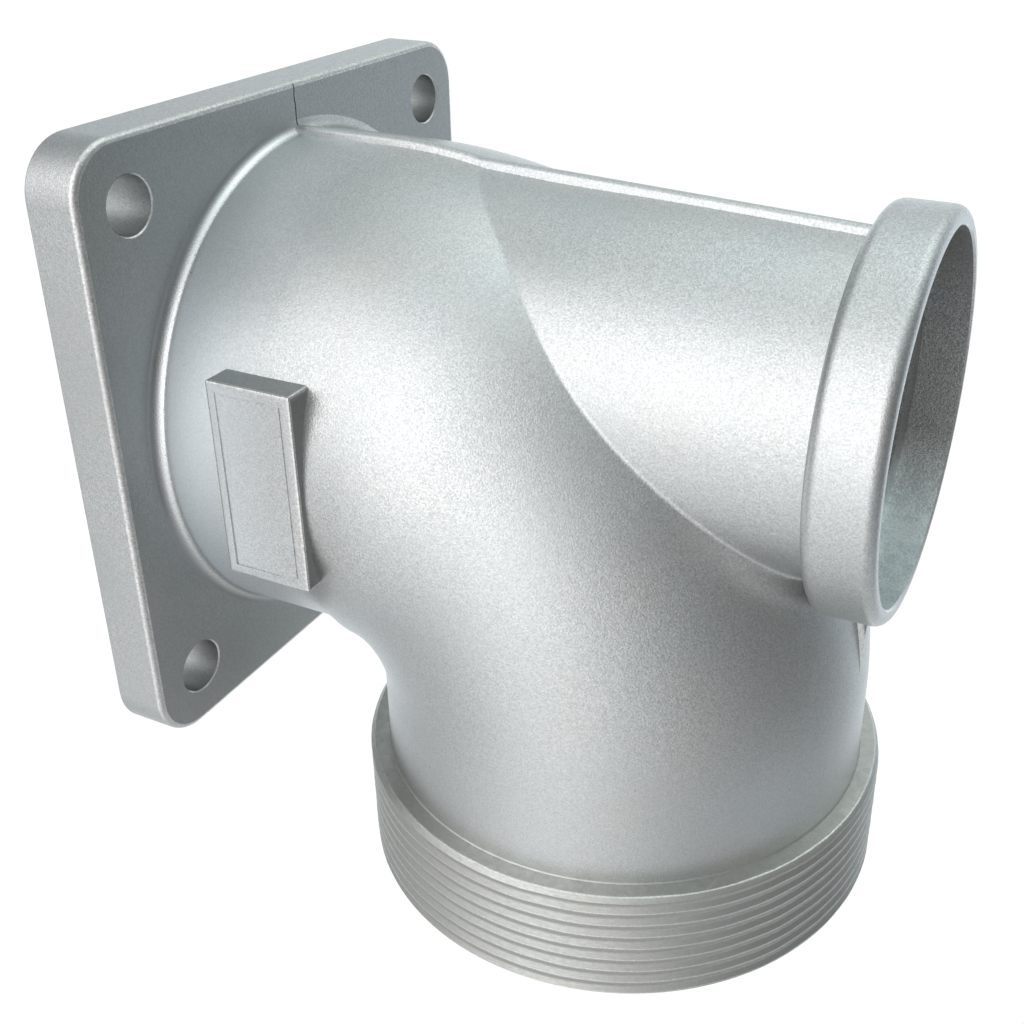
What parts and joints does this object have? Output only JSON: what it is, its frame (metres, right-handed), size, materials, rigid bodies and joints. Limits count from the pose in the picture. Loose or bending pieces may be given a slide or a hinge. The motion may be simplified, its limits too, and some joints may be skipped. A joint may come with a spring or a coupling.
{
  "type": "pump outlet elbow",
  "caption": "Cast aluminium water pump outlet elbow: square flange, right-angle waterway, threaded outlet and an upright filler neck with a socketed rim.",
  "frame": {"origin": "centre of the square flange's mounting face, which lies flat on the pump", "axes": "+Z square to the flange and up through the filler neck, +X along the threaded outlet, -Y towards the side with the bare name boss"},
  "size_m": [0.123, 0.0968, 0.1128],
  "materials": {
    "cast_aluminium": "shot blasted die casting, satin and finely grained, with the outlet thread and its shoulder machined"
  },
  "bodies": {
    "root": {"outlet_elbow": "cast_aluminium"}
  },
  "joints": []
}
